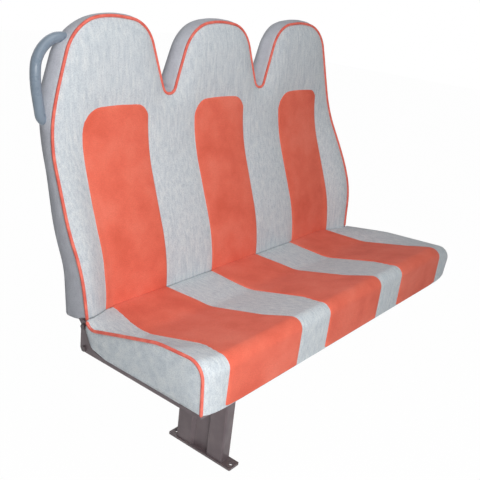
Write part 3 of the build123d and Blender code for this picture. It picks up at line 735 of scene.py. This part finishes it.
class Finish:
    """A material with one principled shader, and short ways to add nodes to it."""

    def __init__(self, name, roughness, metallic=0.0):
        self.material = bpy.data.materials.new(name)
        self.material.use_nodes = True
        self.tree = self.material.node_tree
        self.shader = self.tree.nodes["Principled BSDF"]
        self.shader.inputs["Roughness"].default_value = roughness
        self.shader.inputs["Metallic"].default_value = metallic

    def sheen(self, weight, roughness):
        """The soft shine of a cloth's fibres."""
        self.shader.inputs["Sheen Weight"].default_value = weight
        self.shader.inputs["Sheen Roughness"].default_value = roughness

    def feed(self, socket, value):
        """A link where the value is a node's output, and the socket's own value where it is a number or a colour."""
        if isinstance(value, bpy.types.NodeSocket):
            self.tree.links.new(value, socket)
        else:
            socket.default_value = value

    def node(self, kind, **inputs):
        """A node with its inputs fed by name."""
        made = self.tree.nodes.new(kind)
        for key, value in inputs.items():
            self.feed(made.inputs[key], value)
        return made

    def place(self, scale=(1, 1, 1)):
        """The piece's own coordinates, stretched."""
        coordinates = self.node("ShaderNodeTexCoord").outputs["Object"]
        return self.node("ShaderNodeMapping", Vector=coordinates, Scale=scale).outputs["Vector"]

    def noise(self, vector, scale, detail=2.0, roughness=0.5):
        """A noise of 0 to 1 about a middle of 0.5."""
        made = self.node("ShaderNodeTexNoise", Vector=vector, Scale=scale, Detail=detail, Roughness=roughness)
        return made.outputs["Fac"]

    def ramp(self, value, *stops):
        """A colour for each value: stops are (position, colour), joined by straight runs."""
        made = self.node("ShaderNodeValToRGB", Fac=value)
        points = made.color_ramp.elements
        while len(points) < len(stops):
            points.new(0.5)
        for point, (position, colour) in zip(points, stops):
            point.position = position
            point.color = colour
        return made.outputs["Color"]

    def blend(self, kind, share, first, second):
        """Two colours mixed. The mix node has sockets of one name for each kind of data, so these go by number."""
        made = self.tree.nodes.new("ShaderNodeMix")
        made.data_type = "RGBA"
        made.blend_type = kind
        for number, value in ((0, share), (6, first), (7, second)):
            self.feed(made.inputs[number], value)
        return made.outputs[2]

    def colour(self, value):
        """Links the shader's colour."""
        self.feed(self.shader.inputs["Base Color"], value)

    def relief(self, height, distance, strength):
        """Links the shader's normal to a bump of a height."""
        made = self.node("ShaderNodeBump", Height=height, Distance=distance, Strength=strength)
        self.feed(self.shader.inputs["Normal"], made.outputs["Normal"])


def grey_cloth(name, streak, plain_shaded_part=None):
    """Grey melange cloth: streaks along the warp, speckle, a fine weave. Where the named attribute is 1 the cloth is a
    plainer weave, with a darker tone that is partly painted shade of the sides and rear turned from the light."""
    cloth = Finish(name, 0.88)
    cloth.sheen(0.05, 0.5)
    streaks = cloth.noise(cloth.place(streak), 1.0, 3.0, 0.6)
    colour = cloth.ramp(streaks, (0.28, linear(184, 193, 200)), (0.5, linear(201, 208, 212)),
                        (0.7, linear(213, 218, 219)))
    place = cloth.place()
    speckle = cloth.ramp(cloth.noise(place, 420.0), (0.36, linear(220, 221, 226)), (0.56, linear(255, 255, 255)))
    colour = cloth.blend("MULTIPLY", 0.7, colour, speckle)
    if plain_shaded_part is not None:
        part = cloth.node("ShaderNodeAttribute")
        part.attribute_name = plain_shaded_part
        clouds = cloth.noise(place, 30.0, 3.0)
        # The plainer cloth's darker colours are partly painted shade of the band and rear, which face away from the
        # lamps
        plain_shaded_colour = cloth.ramp(clouds, (0.3, linear(170, 172, 180)), (0.7, linear(182, 185, 192)))
        plain_shaded_colour = cloth.blend("MULTIPLY", 0.5, plain_shaded_colour, speckle)
        colour = cloth.blend("MIX", part.outputs["Fac"], colour, plain_shaded_colour)
    cloth.colour(colour)
    cloth.relief(cloth.noise(place, 1400.0, 1.0), 0.0006, 0.5)
    return cloth.material


def coral_suede():
    """Coral suede cloth: a nap brushed in patches, with fine fibres."""
    suede = Finish("coral_suede", 0.92)
    suede.sheen(0.06, 0.4)
    place = suede.place()
    patches = suede.ramp(suede.noise(place, 11.0, 4.0, 0.55), (0.30, linear(221, 98, 75)),
                         (0.5, linear(231, 110, 87)), (0.7, linear(236, 122, 100)))
    fibres = suede.ramp(suede.noise(place, 700.0), (0.35, linear(228, 220, 218)), (0.6, linear(255, 255, 255)))
    suede.colour(suede.blend("MULTIPLY", 0.7, patches, fibres))
    suede.relief(suede.noise(place, 1100.0, 1.0), 0.0005, 0.5)
    return suede.material


def welt_cloth():
    """Coral cloth drawn tight round a cord: a clouded tone and a fine weave."""
    welt = Finish("coral_welt_cloth", 0.75)
    place = welt.place()
    welt.colour(welt.ramp(welt.noise(place, 60.0, 3.0), (0.35, linear(214, 92, 78)), (0.65, linear(232, 116, 100))))
    welt.relief(welt.noise(place, 1500.0, 1.0), 0.0004, 0.6)
    return welt.material


def paint(name, dark, light, roughness):
    """A coat of paint on steel: slight clouding in colour and gloss, and a faint orange-peel surface."""
    coat = Finish(name, roughness)
    place = coat.place()
    coat.colour(coat.ramp(coat.noise(place, 24.0, 3.0), (0.3, dark), (0.7, light)))
    low, high = roughness - 0.08, roughness + 0.08
    gloss = coat.ramp(coat.noise(place, 60.0), (0.3, (low, low, low, 1)), (0.7, (high, high, high, 1)))
    coat.feed(coat.shader.inputs["Roughness"], gloss)
    coat.relief(coat.noise(place, 900.0, 1.0), 0.00012, 0.5)
    return coat.material


def zinc():
    """Zinc plate: a pale spangled metal with a trace of yellow."""
    plate = Finish("zinc_plate", 0.35, 1.0)
    place = plate.place()
    plate.colour(plate.ramp(plate.noise(place, 180.0), (0.3, linear(182, 176, 150)), (0.7, linear(214, 211, 196))))
    plate.relief(plate.noise(place, 700.0, 1.0), 0.0001, 0.5)
    return plate.material


def grained(name, dark, light, roughness, stretch):
    """A board: bands of a stretched noise from its darker to its lighter wood."""
    board = Finish(name, roughness)
    grain = board.noise(board.place(stretch), 1.0, 4.0, 0.6)
    board.colour(board.ramp(grain, (0.35, dark), (0.65, light)))
    board.relief(grain, 0.0003, 0.4)
    return board.material


def rubber(name, dark, light, roughness):
    """Moulded rubber with a fine matt grain."""
    grip = Finish(name, roughness)
    place = grip.place()
    grip.colour(grip.ramp(grip.noise(place, 80.0), (0.3, dark), (0.7, light)))
    grip.relief(grip.noise(place, 1200.0, 1.0), 0.0002, 0.5)
    return grip.material


# The back's band and rear take the plainer cloth, darker partly as painted shade
back_cloth = grey_cloth("grey_cloth_back", (150, 150, 22), "plain_shaded_cloth")
seat_cloth = grey_cloth("grey_cloth_seat", (150, 40, 40))
suede = coral_suede()
welt = welt_cloth()
finishes = {
    "frame_paint": paint("frame_coat", linear(96, 84, 88), linear(112, 100, 103), 0.42),
    "zinc": zinc(),
    "handle_paint": paint("handle_coat", linear(112, 126, 141), linear(126, 140, 154), 0.32),
    "grommet_rubber": rubber("grommet_grain", linear(30, 30, 31), linear(42, 42, 43), 0.7),
    "plywood": grained("birch_ply", linear(186, 150, 104), linear(214, 182, 138), 0.6, (60, 8, 200)),
    "hardboard": grained("hardboard_face", linear(112, 82, 58), linear(136, 102, 74), 0.7, (90, 90, 90)),
}
bolt_coat = paint("bolt_coat", linear(70, 60, 62), linear(88, 77, 79), 0.38)
for row in frame["record"]["subparts"]:
    finish = bolt_coat if row["node"] == "side_plate_bolts" else finishes.get(row["material_slot"])
    if finish is not None:
        node = frame["nodes"][row["node"]]
        node.data.materials.clear()
        node.data.materials.append(finish)

dressed = [
    (pad, "frame", "grey_fabric", back_cloth, ["back_cover", "back_foam"]),
    (back_piping, "frame", "coral_piping", welt, ["back_piping"]),
    (cushion, "cushion", "grey_fabric", seat_cloth, ["seat_cover", "seat_foam"]),
    (handle, "frame", "handle_paint", finishes["handle_paint"], ["grab_handle"]),
    (seat_welts[0], "cushion", "coral_piping", welt, ["seat_piping_left"]),
    (seat_welts[1], "cushion", "coral_piping", welt, ["seat_piping_right"]),
]
for number in range(len(PLACES)):
    dressed.append((back_panels[number], "frame", "coral_suede", suede, ["back_insert_" + str(number + 1)]))
    dressed.append((seat_panels[number], "cushion", "coral_suede", suede, ["seat_insert_" + str(number + 1)]))
for piece, body, slot, finish, nodes in dressed:
    piece.data.materials.append(finish)
    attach(piece, body)
    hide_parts(*nodes)


def seen_straight(tree, *kinds):
    """1 for a ray of one of the named kinds and 0 for others: the largest of the light path's outputs."""
    path = tree.nodes.new("ShaderNodeLightPath")
    found = path.outputs[kinds[0]]
    for kind in kinds[1:]:
        largest = tree.nodes.new("ShaderNodeMath")
        largest.operation = "MAXIMUM"
        tree.links.new(found, largest.inputs[0])
        tree.links.new(path.outputs[kind], largest.inputs[1])
        found = largest.outputs[0]
    return found


# Floor: pale, and nearly white where it is seen, so that it keeps a trace of the shadow
floor_corners = np.array([[-1.0, -1.0, 0.0], [1.0, -1.0, 0.0], [1.0, 1.0, 0.0], [-1.0, 1.0, 0.0]])
floor = put("floor", floor_corners * (FLOOR_HALF / MM), np.array([[0, 1, 2, 3]]))
ground = bpy.data.materials.new("pale_floor")
ground.use_nodes = True
nodes, links = ground.node_tree.nodes, ground.node_tree.links
nodes["Principled BSDF"].inputs["Base Color"].default_value = FLOOR_COLOUR
nodes["Principled BSDF"].inputs["Roughness"].default_value = FLOOR_ROUGHNESS
glow = nodes.new("ShaderNodeEmission")
glow.inputs["Strength"].default_value = 1.0
weight = nodes.new("ShaderNodeMath")
weight.operation = "MULTIPLY"
weight.inputs[1].default_value = FLOOR_GLOW
links.new(seen_straight(ground.node_tree, "Is Camera Ray", "Is Glossy Ray"), weight.inputs[0])
mixed = nodes.new("ShaderNodeMixShader")
links.new(weight.outputs[0], mixed.inputs[0])
links.new(nodes["Principled BSDF"].outputs[0], mixed.inputs[1])
links.new(glow.outputs[0], mixed.inputs[2])
links.new(mixed.outputs[0], nodes["Material Output"].inputs["Surface"])
floor.data.materials.append(ground)

# World: a soft light from all sides, white where it is seen
scene = bpy.context.scene
scene.view_settings.view_transform = "Standard"
world = bpy.data.worlds.new("studio")
scene.world = world
world.use_nodes = True
nodes, links = world.node_tree.nodes, world.node_tree.links
level = nodes.new("ShaderNodeMapRange")
level.inputs["To Min"].default_value = SKY_LIGHT
level.inputs["To Max"].default_value = SKY_SEEN
seen = seen_straight(world.node_tree, "Is Camera Ray", "Is Glossy Ray", "Is Transmission Ray")
links.new(seen, level.inputs["Value"])
links.new(level.outputs["Result"], nodes["Background"].inputs["Strength"])
nodes["Background"].inputs["Color"].default_value = (1, 1, 1, 1)


def facing(back):
    """Right, up and back directions of something that looks against back."""
    back = unit(np.array(back, float))
    right = unit(np.cross([0.0, 0.0, 1.0], back))
    return right, np.cross(back, right), back


def placed(name, data, place, axes):
    """A lamp or camera at a place, turned to its right, up and back directions."""
    made = bpy.data.objects.new(name, data)
    made.matrix_world = Matrix.Translation(place) @ Matrix(np.column_stack(axes).tolist()).to_4x4()
    scene.collection.objects.link(made)
    return made


# Lamps: square soft lights
for name, place, aim, size, power in LAMPS:
    light = bpy.data.lights.new(name, "AREA")
    light.size = size
    light.energy = power
    placed(name, light, place, facing(np.array(place) - np.array(aim)))

# Camera: at the photo's angle, rolled a little
azimuth, elevation, roll = (math.radians(angle) for angle in (CAMERA_AZIMUTH, CAMERA_ELEVATION, CAMERA_ROLL))
right, up, back = facing((math.sin(azimuth) * math.cos(elevation), -math.cos(azimuth) * math.cos(elevation),
                          math.sin(elevation)))
turned_right = math.cos(roll) * right + math.sin(roll) * up
turned_up = math.cos(roll) * up - math.sin(roll) * right
lens = bpy.data.cameras.new("camera")
lens.sensor_width = SENSOR_MM
lens.lens = LENS_MM
lens.clip_end = FAR_CLIP
scene.camera = placed("camera", lens, CAMERA_PLACE, (turned_right, turned_up, back))
